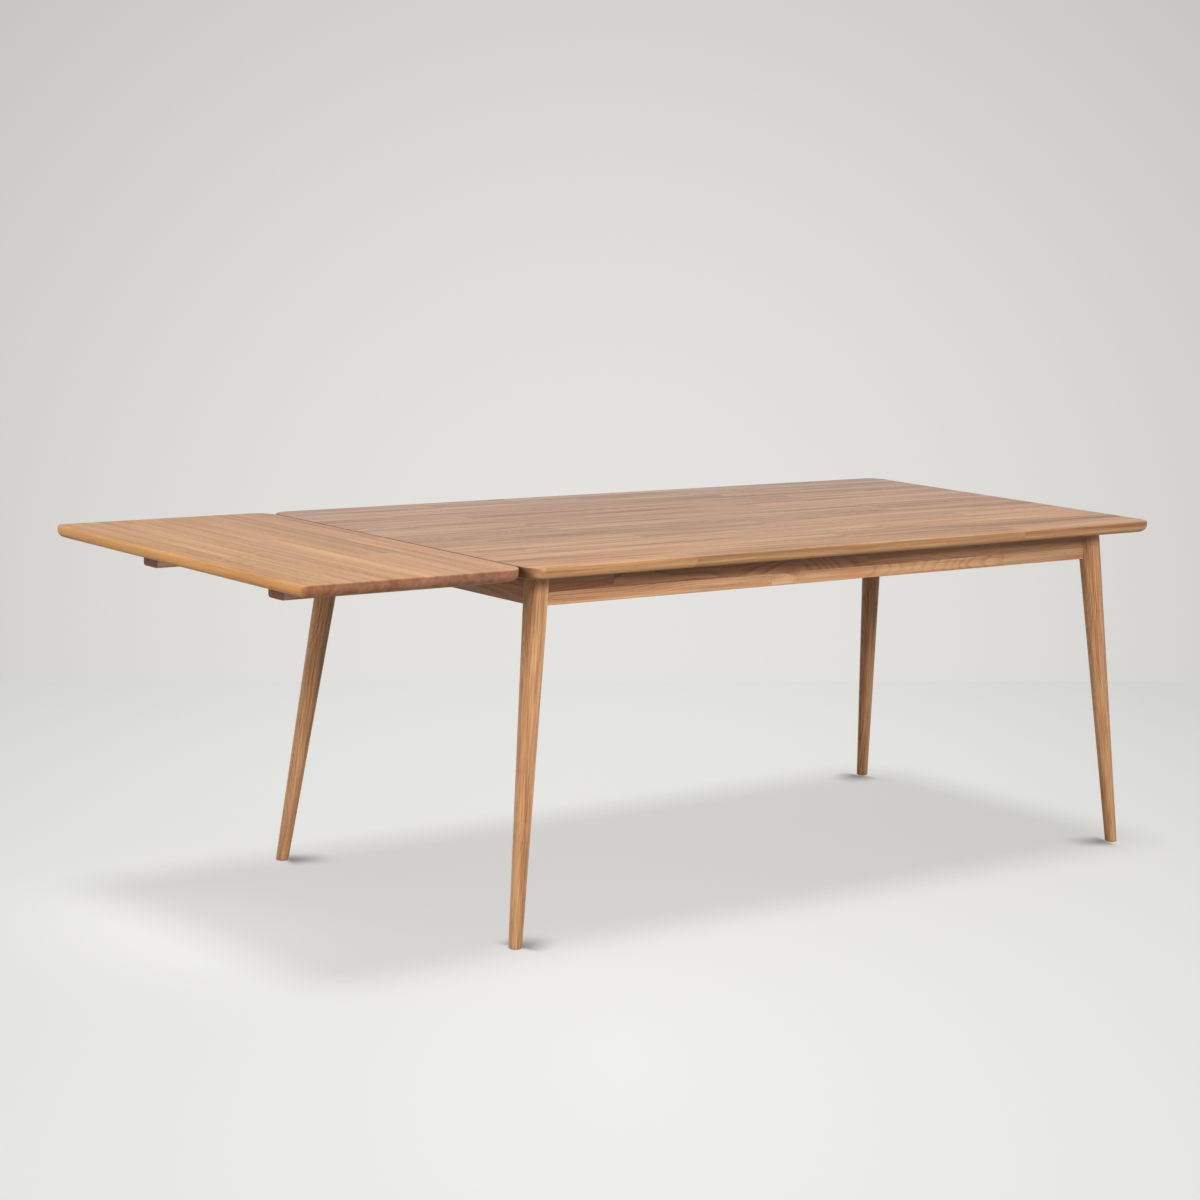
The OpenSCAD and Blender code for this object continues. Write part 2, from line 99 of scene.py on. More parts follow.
def add(tree, kind, inputs=(), stops=(), **settings):
    """Adds one shader node: settings are its properties, and inputs gives each socket,
    by name or number, a value, or a node or socket to link from. Stops are a colour
    ramp's pairs of a place and a hex colour or a grey. By number, a Mix of colours takes
    them at 6 and 7 and gives them mixed at 2, and a MapRange goes from 1 and 2 to 3 and 4."""
    made = tree.nodes.new("ShaderNode" + kind)
    for name, value in settings.items():
        setattr(made, name, value)
    for socket, value in dict(inputs).items():
        if isinstance(value, bpy.types.Node):
            value = value.outputs[0]
        if isinstance(value, bpy.types.NodeSocket):
            tree.links.new(value, made.inputs[socket])
        else:
            made.inputs[socket].default_value = value
    for number, (place, colour) in enumerate(stops):
        band = made.color_ramp.elements
        element = band[number] if number < len(band) else band.new(1)
        element.position = place
        element.color = tone(colour) if isinstance(colour, str) else (colour,) * 3 + (1,)
    return made


def through(pixel):
    """The direction from the camera through a pixel of the photograph."""
    across, down = (np.array(pixel) - picture / 2) / focal
    return (ahead + view_right * across - view_up * down).normalized()


def on_floor(pixel):
    """The point of the floor that a pixel of the photograph shows."""
    ray = through(pixel)
    return camera_place - ray * (camera_place.z / ray.z)


def seen_directly(tree):
    """One for a ray from the camera or from a reflection, and nought for scattered light."""
    path = add(tree, "LightPath")
    mirrored = add(tree, "Math", {0: path.outputs["Is Glossy Ray"],
                                  1: path.outputs["Is Transmission Ray"]}, operation="MAXIMUM")
    return add(tree, "Math", {0: mirrored, 1: path.outputs["Is Camera Ray"]}, operation="MAXIMUM")


left_end, right_end = on_floor((0, floor_line)), on_floor((picture, floor_line))
edge_along = (right_end - left_end).normalized()
edge_out = Vector((-edge_along.y, edge_along.x, 0))
edge_middle = (left_end + right_end) / 2
corners = [edge_middle + edge_along * s * floor_reach - edge_out * d * floor_reach
           for s, d in ((-1, 0), (-1, 2), (1, 2), (1, 0))]
floor_mesh = bpy.data.meshes.new("floor")
floor_mesh.from_pydata(corners, [], [(0, 1, 2, 3)])
floor = bpy.data.objects.new("floor", floor_mesh)
bpy.context.scene.collection.objects.link(floor)

painted = bpy.data.materials.new("matt_floor_paint")
painted.use_nodes = True
tree = painted.node_tree
tree.nodes.clear()
spot = on_floor(bright_spot)
spot_turn = math.atan2(level_right.y, level_right.x)
place = add(tree, "Mapping", {
    "Vector": add(tree, "TexCoord").outputs["Object"],
    "Location": spot,
    "Rotation": (0, 0, spot_turn),
    "Scale": (glow_half_width, glow_half_depth, 1),
}, vector_type="TEXTURE")
# The painted pool of light on the floor, brightest at its bright spot and dimmer away from it
glow = add(tree, "TexGradient", {"Vector": place}, gradient_type="SPHERICAL")
shade = add(tree, "ValToRGB", {"Fac": glow.outputs["Fac"]},
            stops=[(0, "#dededa"), (0.4, "#eeeeea"), (1, "#fdfdf9")])

# Painted shadow on the floor beside each foot, which points inwards under the table: it
# fades along its heading to both ends, and to both sides
glide_low, glide_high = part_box("foot_glides")
around = add(tree, "TexCoord").outputs["Object"]
for foot_x, way in ((glide_low.x + glide_r, 1), (glide_high.x - glide_r, -1)):
    for foot_y, lean in ((glide_low.y + glide_r, 1), (glide_high.y - glide_r, -1)):
        heading = math.atan2(foot_shade_lean * lean, way)
        place = add(tree, "Mapping", {"Vector": around, "Location": (foot_x, foot_y, 0),
                                      "Rotation": (0, 0, heading)}, vector_type="TEXTURE")
        split = add(tree, "SeparateXYZ", {0: place})
        aside = add(tree, "Math", {0: split.outputs["Y"]}, operation="ABSOLUTE")
        dark = foot_shade
        for distance, start, end in ((split.outputs["X"], foot_shade_l, 0),
                                     (split.outputs["X"], 0, 2 * glide_r),
                                     (aside, foot_shade_w, 0)):
            fade = add(tree, "MapRange", {"Value": distance, 1: start, 2: end},
                       interpolation_type="SMOOTHSTEP")
            dark = add(tree, "Math", {0: fade, 1: dark}, operation="MULTIPLY")
        shade = add(tree, "Mix", {"Factor": dark, 6: shade, 7: tone(foot_shade_colour)},
                    data_type="RGBA").outputs[2]

# The floor glows a little where it is seen, and throws a darker grey back at the table
direct = seen_directly(tree)
bounced = add(tree, "Mix", {"Factor": direct, 6: tone(floor_bounce), 7: shade},
              data_type="RGBA")
paint = add(tree, "BsdfDiffuse", {"Color": bounced.outputs[2]})
lit = add(tree, "Emission", {"Color": shade})
share = add(tree, "Math", {0: direct, 1: floor_glow}, operation="MULTIPLY")
surface = add(tree, "MixShader", {0: share, 1: paint, 2: lit})
add(tree, "OutputMaterial", {"Surface": surface})
floor_mesh.materials.append(painted)

world = bpy.data.worlds.new("studio")
bpy.context.scene.world = world
world.use_nodes = True
tree = world.node_tree
tree.nodes.clear()
towards = add(tree, "TexCoord").outputs["Generated"]
facing = add(tree, "VectorMath", {0: towards, 1: through(wall_middle)}, operation="DOT_PRODUCT")
nearness = add(tree, "MapRange", {"Value": facing.outputs["Value"], 1: wall_dimmest, 2: 1})
wall = add(tree, "ValToRGB", {"Fac": nearness},
           stops=[(0, "#cfcfcb"), (0.33, "#c8c7c3"), (0.65, "#d4d3cf"), (1, "#e4e3df")])
ambient = add(tree, "Background", {"Color": tone("#fbfbff"), "Strength": ambient_strength})
seen = add(tree, "Background", {"Color": wall, "Strength": 1})
both = add(tree, "MixShader", {0: seen_directly(tree), 1: ambient, 2: seen})
add(tree, "OutputWorld", {"Surface": both})

# The lamps: a wide soft one overhead, which gives the shadow under the table, two
# softboxes, at the front and at the left, which reach in under the edges of the tops,
# and a low one that washes out the end of the shadow, under the leaf.
overhead_turn = (0, math.radians(-5), 0)
overhead_angle = math.radians(16)
overhead_strength = 1.4

overhead = bpy.data.objects.new("overhead", bpy.data.lights.new("overhead", "SUN"))
overhead.data.energy = overhead_strength
overhead.data.angle = overhead_angle
overhead.rotation_euler = overhead_turn
bpy.context.scene.collection.objects.link(overhead)

unlit = bpy.data.collections.new("not lit by the softboxes")
unlit.objects.link(floor)
for name, box_place, box_aim, box_width, box_height, box_power in (
        ("front_softbox", (0.1, -3.0, 1.86), (0.0, -0.4, 0.45), 1.0, 0.7, 58),
        ("left_softbox", (-3.1, -0.9, 1.5), (-0.9, -0.3, 0.5), 0.7, 0.9, 36)):
    softbox = bpy.data.objects.new(name, bpy.data.lights.new(name, "AREA"))
    softbox.data.shape = "RECTANGLE"
    softbox.data.size, softbox.data.size_y = box_width, box_height
    softbox.data.energy = box_power
    softbox.location = box_place
    aim = Vector(box_aim) - Vector(box_place)
    softbox.rotation_euler = aim.to_track_quat("-Z", "Y").to_euler()
    softbox.visible_camera = softbox.visible_glossy = False
    bpy.context.scene.collection.objects.link(softbox)
    softbox.light_linking.receiver_collection = unlit
unlit.collection_objects[0].light_linking.link_state = "EXCLUDE"

wash_place = (-1.10, 0.05, 0.3)
wash_size = (0.2, 0.6)
wash_power = 0.4
only_floor = bpy.data.collections.new("lit by the floor wash")
only_floor.objects.link(floor)
wash = bpy.data.objects.new("floor_wash", bpy.data.lights.new("floor_wash", "AREA"))
wash.data.shape = "RECTANGLE"
wash.data.size, wash.data.size_y = wash_size
wash.data.energy = wash_power
wash.location = wash_place
wash.visible_camera = wash.visible_glossy = False
bpy.context.scene.collection.objects.link(wash)
wash.light_linking.receiver_collection = only_floor

# The main top: oak staves glued edge to edge, planed to 25 mm, with rounded corners,
# a small rounding above and a large one below, then sanded and oiled.
corner_round, joint_corner_round = 0.038, 0.045
upper_round, joint_round, lower_round = 0.003, 0.0015, 0.016
arc_steps = 12
face_margin = 0.0006
sharp = 0.00001
crease = math.radians(32)
pin_low, pin_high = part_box("leaf_pins")
pin_r = (pin_high.z - pin_low.z) / 2
pin_z = (pin_high.z + pin_low.z) / 2
pin_places = (pin_low.y + pin_r, 0, pin_high.y - pin_r)
pin_fit, bore_spare = 0.0003, 0.010


def outline(low, high, radii):
    """A rectangle with rounded corners, as points anticlockwise from its lower right
    corner, and at each point the direction that faces outwards: each corner is its
    centre plus its radius times a unit vector that turns by a quarter."""
    (x0, y0), (x1, y1) = low, high
    centres = np.array([(x1 - radii[0], y0 + radii[0]), (x1 - radii[1], y1 - radii[1]),
                        (x0 + radii[2], y1 - radii[2]), (x0 + radii[3], y0 + radii[3])])
    turn = np.linspace(0, math.pi / 2, arc_steps + 1) + np.arange(-1, 3)[:, None] * math.pi / 2
    outward = np.stack([np.cos(turn), np.sin(turn)], -1)
    points = centres[:, None] + np.array(radii)[:, None, None] * outward
    return points.reshape(-1, 2), outward.reshape(-1, 2)


def end_steps(rounding):
    """Depth and inset of the rings at the end of a block: a quarter circle that starts
    on the flat face, with one more ring a small margin inside its edge. The rounding
    is one value, or one for each point of the outline."""
    rounding = np.atleast_1d(rounding)
    if not rounding.any():
        return np.zeros((2, 1, 1))
    turn = np.linspace(math.pi / 2, 0, arc_steps + 1)[:, None]
    return np.stack([np.vstack([0 * rounding, rounding * (1 - np.sin(turn))]),
                     np.vstack([rounding + face_margin, rounding * (1 - np.cos(turn))])])


def block(low, high, axis, radii=(sharp,) * 4, start_round=0, end_round=0):
    """Rings of a block: a rounded outline carried along one axis, and drawn in at both
    ends by a quarter circle. A rounding is a value, or a function that gives it for
    the outline's outward directions."""
    others = [(axis + 1) % 3, (axis + 2) % 3]
    points, outward = outline([low[i] for i in others], [high[i] for i in others], radii)
    ends = [end_steps(size(outward) if callable(size) else size)
            for size in (start_round, end_round)]
    (start, start_in), (end, end_in) = [
        np.broadcast_to(steps, (*steps.shape[:2], len(points))) for steps in ends]
    insets = np.concatenate([start_in, end_in[::-1]])
    rings = np.zeros((*insets.shape, 3))
    rings[..., axis] = np.concatenate([low[axis] + start, high[axis] - end[::-1]])
    rings[..., others] = points - outward * insets[..., None]
    return rings


def turned_rings(start, along, steps, sides=48):
    """Rings of a turned piece: circles round a straight axis, each at its distance
    along the axis and with its own radius."""
    along = np.array(along) / np.linalg.norm(along)
    side = np.cross(along, (0, 0, 1) if abs(along[2]) < 0.9 else (1, 0, 0))
    side /= np.linalg.norm(side)
    turn = np.linspace(0, 2 * math.pi, sides, endpoint=False)[:, None]
    round_it = np.cos(turn) * side + np.sin(turn) * np.cross(along, side)
    distance, radius = np.array(steps).T
    centres = np.array(start) + distance[:, None] * along
    return centres[:, None] + radius[:, None, None] * round_it


def skin(name, *solids):
    """A closed surface through the rings of each solid: quads join each ring to the
    next, and one flat face closes each end. Rings that run the wrong way are turned."""
    points, faces, first = [], [], 0
    for rings in solids:
        count, around = rings.shape[:2]
        area = np.cross(rings[0], np.roll(rings[0], -1, 0)).sum(0)
        if area @ (rings[-1].mean(0) - rings[0].mean(0)) < 0:
            rings = rings[:, ::-1]
        index = np.arange(count * around).reshape(count, around) + first
        lower, upper = index[:-1], index[1:]
        quads = np.stack([lower, np.roll(lower, -1, 1), np.roll(upper, -1, 1), upper], -1)
        faces += quads.reshape(-1, 4).tolist()
        faces += [index[0][::-1].tolist(), index[-1].tolist()]
        points.append(rings.reshape(-1, 3))
        first += count * around
    mesh = bpy.data.meshes.new(name)
    mesh.from_pydata(np.concatenate(points), [], faces)
    mesh.validate()
    piece = bpy.data.objects.new(name, mesh)
    bpy.context.scene.collection.objects.link(piece)
    return piece


def cut(piece, *solids):
    """Takes solids, given by their rings, out of a piece."""
    cutters = [skin("cutter", rings) for rings in solids]
    for cutter in cutters:
        tool = piece.modifiers.new("cut", "BOOLEAN")
        tool.object, tool.operation, tool.solver = cutter, "DIFFERENCE", "EXACT"
    bpy.context.view_layer.update()
    evaluated = piece.evaluated_get(bpy.context.evaluated_depsgraph_get())
    cut_mesh = bpy.data.meshes.new_from_object(evaluated)
    piece.modifiers.clear()
    piece.data = cut_mesh
    for cutter in cutters:
        bpy.data.objects.remove(cutter)


def upper_rounding(left_round, right_round):
    """The upper rounding of a top for each outward direction: along the corners it
    turns into that of the left or right end, by the squared cosine to that end."""
    return lambda outward: upper_round + np.where(
        outward[:, 0] < 0, left_round - upper_round, right_round - upper_round
    ) * outward[:, 0] ** 2


def dressed(piece, material, along, across, origin, body, slot, *nodes):
    """Gives a piece its smooth shading, grain coordinates, material and body; its slot is not
    used.
    Its grain attribute is the place from origin: X along the grain, Y across the
    staves, and Z through them."""
    piece.data.shade_smooth()
    piece.data.set_sharp_from_angle(angle=crease)
    along = Vector(along).normalized()
    across = Vector(across)
    across = (across - along * across.dot(along)).normalized()
    axes = np.array([along, across, along.cross(across)])
    points = np.zeros(len(piece.data.vertices) * 3, np.float32)
    piece.data.vertices.foreach_get("co", points)
    grain = (points.reshape(-1, 3) - np.array(origin)) @ axes.T
    field = piece.data.attributes.new("grain", "FLOAT_VECTOR", "POINT")
    field.data.foreach_set("vector", grain.astype(np.float32).ravel())
    piece.data.materials.clear()
    piece.data.materials.append(material)
    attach(piece, body)
    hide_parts(*nodes)


def oak(name, along, stave_l, stave_w, light, dark, blush, end, seed, rings, swings,
        rows=(1, "#ffffff", "#ffffff"), edge=(1, 1, 1), joint_shade_axis=None):
    """Oiled oak, worked out as solid wood. Each stave is cut from its own log: growth
    rings lie round a pith line beside the stave, so that faces show straight grain or
    arches and ends show arcs. Pores, fibres and long streaks follow the grain, and
    swings say how much the fibres, streaks and bands lighten or darken it. Rows tint
    the staves from the first one to the last: on the top and the aprons this tint is
    partly painted light and shade. Edge tints the side faces along the grain lighter
    and more golden: partly the wood's own gold, partly painted light. joint_shade_axis is
    the axis of the grain on which a painted shade in the joint with the leaf lies at nought."""
    # Widths and lengths in metres. Real pores are about 0.3 mm wide: they are drawn twice
    # as wide, and fibres as bundles, because finer ones are lost from where it is seen
    ring_gap = 0.0032
    pore_w, pore_l = 0.0007, 0.014
    fibre_w, fibre_l = 0.0022, 0.110
    streak_w, streak_l = 0.011, 0.42
    band_w, band_l = 0.034, 0.90
    pith_spread, pith_start = (40, 0.16, 0.11), (-20, -0.080, 0.016)
    bends_per_m, bend_by = (1.7, 9, 9), (0, 0.030, 0.030)
    sweeps_per_m, sweep_by = (2.2, 0, 0), (0, 0.02, 0.08)
    year_swings_per_m, year_by = 60, 0.010
    closed_pore, open_pore = 0.54, 0.66
    # The last darkness and the last two widths are for the painted shade in the joint with the
    # leaf
    pore_dark, mean_dark, glue_dark, end_dark, joint_shade_dark = 0.30, 0.22, 0.38, 0.85, 0.75
    glue_w, joint_shade_w, joint_shade_core = 0.0009, 0.0045, 0.0015
    row_slip = 7
    made = bpy.data.materials.new(name)
    made.use_nodes = True
    tree = made.node_tree
    tree.nodes.clear()

    # Each row of staves slips along by its own amount, and each stave has its own luck
    place = add(tree, "Attribute", attribute_name="grain").outputs["Vector"]
    counted = add(tree, "VectorMath", {0: place, 1: (stave_l, stave_w, 1)}, operation="DIVIDE")
    row = add(tree, "Math", {0: add(tree, "SeparateXYZ", {0: counted}).outputs["Y"]},
              operation="FLOOR")
    row_seed = add(tree, "Math", {0: row, 1: seed}, operation="ADD")
    row_luck = add(tree, "TexWhiteNoise", {"W": row_seed}, noise_dimensions="1D")
    slip = add(tree, "Math", {0: row_luck.outputs["Value"], 1: row_slip}, operation="MULTIPLY")
    slipped = add(tree, "VectorMath", {0: counted, 1: add(tree, "CombineXYZ", {0: slip})},
                  operation="ADD")
    stave = add(tree, "VectorMath", {0: slipped}, operation="FLOOR")
    shape_seed = add(tree, "VectorMath", {0: stave, 1: (seed, 0, 2 * seed)}, operation="ADD")
    shape_luck = add(tree, "TexWhiteNoise", {"Vector": shape_seed}, noise_dimensions="3D")
    tone_seed = add(tree, "VectorMath", {0: stave, 1: (seed, seed, 0)}, operation="ADD")
    tone_luck = add(tree, "TexWhiteNoise", {"Vector": tone_seed}, noise_dimensions="3D")
    within = add(tree, "VectorMath", {0: slipped}, operation="FRACTION")

    # Place in the log: along the stave as it is, and across from the stave's middle
    split = add(tree, "SeparateXYZ", {0: place})
    across = add(tree, "SeparateXYZ", {0: within}).outputs["Y"]
    from_middle = add(tree, "Math", {0: across, 1: stave_w, 2: -stave_w / 2},
                      operation="MULTIPLY_ADD")
    own = add(tree, "CombineXYZ", {0: split.outputs["X"], 1: from_middle, 2: split.outputs["Z"]})
    pith = add(tree, "VectorMath", {0: shape_luck.outputs["Color"], 1: pith_spread,
                                    2: pith_start}, operation="MULTIPLY_ADD")
    log = add(tree, "VectorMath", {0: own, 1: pith}, operation="ADD")
    slow = add(tree, "VectorMath", {0: log, 1: bends_per_m}, operation="MULTIPLY")
    bend = add(tree, "TexNoise", {"Vector": slow, "Scale": 1, "Detail": 2})
    bent = add(tree, "VectorMath", {0: bend.outputs["Color"], 1: bend_by, 2: log},
               operation="MULTIPLY_ADD")
    lengthwise = add(tree, "VectorMath", {0: log, 1: sweeps_per_m}, operation="MULTIPLY")
    sweep = add(tree, "TexNoise", {"Vector": lengthwise, "Scale": 1, "Detail": 1})
    swept = add(tree, "VectorMath", {0: sweep.outputs["Color"], 1: sweep_by, 2: bent},
                operation="MULTIPLY_ADD")
    crosswise = add(tree, "VectorMath", {0: swept, 1: (0, 1, 1)}, operation="MULTIPLY")
    radius = add(tree, "VectorMath", {0: crosswise}, operation="LENGTH").outputs["Value"]
    years = add(tree, "TexNoise", {"W": radius, "Scale": year_swings_per_m, "Detail": 1},
                noise_dimensions="1D")
    uneven = add(tree, "Math", {0: years, 1: year_by, 2: radius}, operation="MULTIPLY_ADD")
    season = add(tree, "Math", {0: add(tree, "Math", {0: uneven, 1: ring_gap},
                                       operation="DIVIDE")}, operation="FRACT")
    early = add(tree, "ValToRGB", {"Fac": season}, stops=[
        (0, 0.55), (0.10, 1), (0.30, 0.55), (0.55, 0.10), (0.93, 0.0), (1, 0.55)])

    # Streaks of four sizes along the grain, from a single pore to a broad band
    streaks = []
    for long, wide, detail in ((pore_l, pore_w, 1), (fibre_l, fibre_w, 3),
                               (streak_l, streak_w, 2), (band_l, band_w, 2)):
        stretched = add(tree, "VectorMath", {0: log, 1: (1 / long, 1 / wide, 1 / wide)},
                        operation="MULTIPLY")
        streaks.append(add(tree, "TexNoise", {"Vector": stretched, "Scale": 1,
                                              "Detail": detail}))
    pore_noise, streak, bands = streaks[0], streaks[2], streaks[3]
    open_pores = add(tree, "MapRange", {"Value": pore_noise, 1: closed_pore, 2: open_pore})
    pores = add(tree, "Math", {0: open_pores, 1: early}, operation="MULTIPLY")

    # Darkness of the wood: rings, pores, fibres, streaks and bands together
    strength = add(tree, "MapRange", {"Value": bands, 1: 0.35, 2: 0.65, 3: 0.2 * rings,
                                      4: rings})
    ring_part = add(tree, "Math", {0: early, 1: strength}, operation="MULTIPLY")
    darkness = add(tree, "Math", {0: pores, 1: pore_dark, 2: ring_part},
                   operation="MULTIPLY_ADD")
    for noise, swing in zip(streaks[1:], swings):
        part = add(tree, "MapRange", {"Value": noise, 1: 0.3, 2: 0.7, 3: -swing, 4: swing},
                   clamp=False)
        darkness = add(tree, "Math", {0: darkness, 1: part}, operation="ADD")
    darkness = add(tree, "Math", {0: darkness, 1: mean_dark}, operation="ADD", use_clamp=True)
    wood = add(tree, "Mix", {"Factor": darkness, 6: tone(light), 7: tone(dark)},
               data_type="RGBA")

    # Each stave has its own tone: lighter or darker, and some more pink than golden
    lucky = add(tree, "SeparateXYZ", {0: tone_luck.outputs["Color"]})
    rosy = add(tree, "MapRange", {"Value": lucky.outputs["X"], 1: 0.2, 2: 1, 3: 0.1, 4: 0.5},
               clamp=False)
    flushed = add(tree, "MapRange", {"Value": streak, 1: 0.35, 2: 0.65, 3: -0.3, 4: 0.5},
                  clamp=False)
    pink = add(tree, "Math", {0: rosy, 1: flushed}, operation="ADD", use_clamp=True)
    tinted = add(tree, "Mix", {"Factor": pink, 6: wood.outputs[2], 7: tone(blush)},
                 data_type="RGBA", blend_type="MULTIPLY")
    bright = add(tree, "MapRange", {"Value": lucky.outputs["Y"], 3: 0.91, 4: 1.05})
    toned = add(tree, "VectorMath", {0: tinted.outputs[2], "Scale": bright}, operation="SCALE")
    row_part = add(tree, "Math", {0: row, 1: rows[0]}, operation="DIVIDE", use_clamp=True)
    row_tint = add(tree, "Mix", {"Factor": row_part, 6: tone(rows[1]), 7: tone(rows[2])},
                   data_type="RGBA")
    toned = add(tree, "VectorMath", {0: toned, 1: row_tint.outputs[2]}, operation="MULTIPLY")

    # Thin dark line of glue between staves
    aside = add(tree, "VectorMath", {0: add(tree, "VectorMath", {
        0: within, 1: (0.5, 0.5, 0.5)}, operation="SUBTRACT")}, operation="ABSOLUTE")
    sides = add(tree, "SeparateXYZ", {0: aside})
    edge_joint = add(tree, "MapRange", {"Value": sides.outputs["Y"],
                                        1: 0.5 - glue_w / stave_w, 2: 0.5})
    butt_joint = add(tree, "MapRange", {"Value": sides.outputs["X"],
                                        1: 0.5 - glue_w / stave_l, 2: 0.5})
    joint = add(tree, "Math", {0: edge_joint, 1: butt_joint}, operation="MAXIMUM")
    joint_part = add(tree, "Math", {0: joint, 1: glue_dark}, operation="MULTIPLY")
    glued = add(tree, "Mix", {"Factor": joint_part, 6: toned, 7: tone("#5b3b26")},
                data_type="RGBA")

    # End grain drinks more oil, so it is darker where the surface turns across the grain:
    # by one less the square of one less the squared cosine between normal and grain
    normal = add(tree, "NewGeometry").outputs["Normal"]
    square = add(tree, "VectorMath", {0: normal, 1: along}, operation="DOT_PRODUCT")
    cross_cut = add(tree, "Math", {0: square.outputs["Value"], 1: 2}, operation="POWER")
    long_grain = add(tree, "Math", {0: 1, 1: cross_cut}, operation="SUBTRACT")
    spared = add(tree, "Math", {0: long_grain, 1: 2}, operation="POWER")
    end_part = add(tree, "Math", {0: spared, 1: -end_dark, 2: end_dark},
                   operation="MULTIPLY_ADD")
    colour = add(tree, "Mix", {"Factor": end_part, 6: glued.outputs[2], 7: tone(end)},
                 data_type="RGBA", blend_type="MULTIPLY")

    # Side faces along the grain are tinted lighter and more golden than tops and ends:
    # partly the wood's own gold, partly painted light on those faces
    tilt = add(tree, "SeparateXYZ", {0: normal}).outputs["Z"]
    upwards = add(tree, "Math", {0: tilt, 1: 2}, operation="POWER")
    flat_part = add(tree, "Math", {0: upwards, 1: cross_cut}, operation="ADD", use_clamp=True)
    edge_tint = add(tree, "Mix", {"Factor": flat_part, 6: (*edge, 1), 7: (1, 1, 1, 1)},
                    data_type="RGBA")
    colour = add(tree, "VectorMath", {0: colour.outputs[2], 1: edge_tint.outputs[2]},
                 operation="MULTIPLY")
    # Painted shade in the joint with the leaf: a dark band on the joint end, where shade falls in
    # the gap
    if joint_shade_axis:
        from_joint = add(tree, "SeparateXYZ", {0: place}).outputs[joint_shade_axis]
        joint_shade = add(tree, "MapRange", {"Value": from_joint, 1: joint_shade_w, 2: joint_shade_core,
                                       4: joint_shade_dark})
        colour = add(tree, "Mix", {"Factor": joint_shade, 6: colour, 7: tone("#5e3413")},
                     data_type="RGBA").outputs[2]

    # Open pores lie a little deeper, and undersides are left with less oil
    relief = add(tree, "Math", {0: pores, 1: -1, 2: early}, operation="MULTIPLY_ADD")
    bump = add(tree, "Bump", {"Height": relief, "Strength": 0.25, "Distance": 0.0003})
    rough = add(tree, "MapRange", {"Value": pores, 3: 0.46, 4: 0.62})
    oiled = add(tree, "MapRange", {"Value": tilt, 1: -0.6, 2: 0.0, 3: 0.05, 4: 0.5})
    shader = add(tree, "BsdfPrincipled", {"Base Color": colour, "Roughness": rough, "IOR": 1.5,
                                          "Specular IOR Level": oiled, "Normal": bump})
    add(tree, "OutputMaterial", {"Surface": shader})
    return made


# The top's rows run from warmer staves at the front to cooler ones at the back: painted light at
# the front and a painted reflection of the pale wall at the back. Its side faces carry painted
# light as well, and its joint end a painted shade.
top_oak = oak("oiled_oak_top", along=(1, 0, 0), stave_l=0.95, stave_w=0.078,
              light="#d1ac91", dark="#87624c", blush="#f6ebe4", end="#5c4236",
              seed=3, rings=0.12, swings=(0.16, 0.30, 0.22),
              rows=(11, "#fef0d6", "#f9fbff"), edge=(1.33, 1.31, 1.10), joint_shade_axis="X")
main_top = skin("oak_main_top", block(
    top_low, top_high, 2, (corner_round, corner_round, joint_corner_round, joint_corner_round),
    lower_round, upper_rounding(joint_round, upper_round)))
bore_start, bore_end = top_low.x - bore_spare, pin_high.x
cut(main_top, *(turned_rings((bore_start, y, pin_z), (1, 0, 0),
                             ((0, pin_r + pin_fit), (bore_end - bore_start, pin_r + pin_fit)))
                for y in pin_places))
dressed(main_top, top_oak, (1, 0, 0), (0, 1, 0), top_low, "table", "oak_top", "main_top")

# The extension leaf: the same board, but with its staves running across the table, so
# that its long edges show end grain at the front and back. Its outer corners are crisper.
leaf_low, leaf_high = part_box("extension_leaf")
leaf_corner_round, leaf_end_round = 0.017, 0.006
leaf_oak = oak("oiled_oak_leaf", along=(0, 1, 0), stave_l=1.3, stave_w=0.092,
               light="#dcae80", dark="#8f6343", blush="#f4e6e0", end="#c2abb2",
               seed=11, rings=0.06, swings=(0.10, 0.13, 0.22),
               rows=(5, "#f8f4fa", "#fff9ea"), edge=(1.20, 1.12, 0.86))
leaf = skin("oak_leaf", block(
    leaf_low, leaf_high, 2,
    (joint_corner_round, joint_corner_round, leaf_corner_round, leaf_corner_round),
    lower_round, upper_rounding(leaf_end_round, joint_round)))
dressed(leaf, leaf_oak, (0, 1, 0), (-1, 0, 0), (leaf_high.x, leaf_low.y, leaf_low.z), "leaf",
        "oak_leaf", "extension_leaf")

# Three beech dowels glued into the leaf's edge, turned, with their ends chamfered so
# that they find the bores of the main top.
pin_bevel = 0.0025


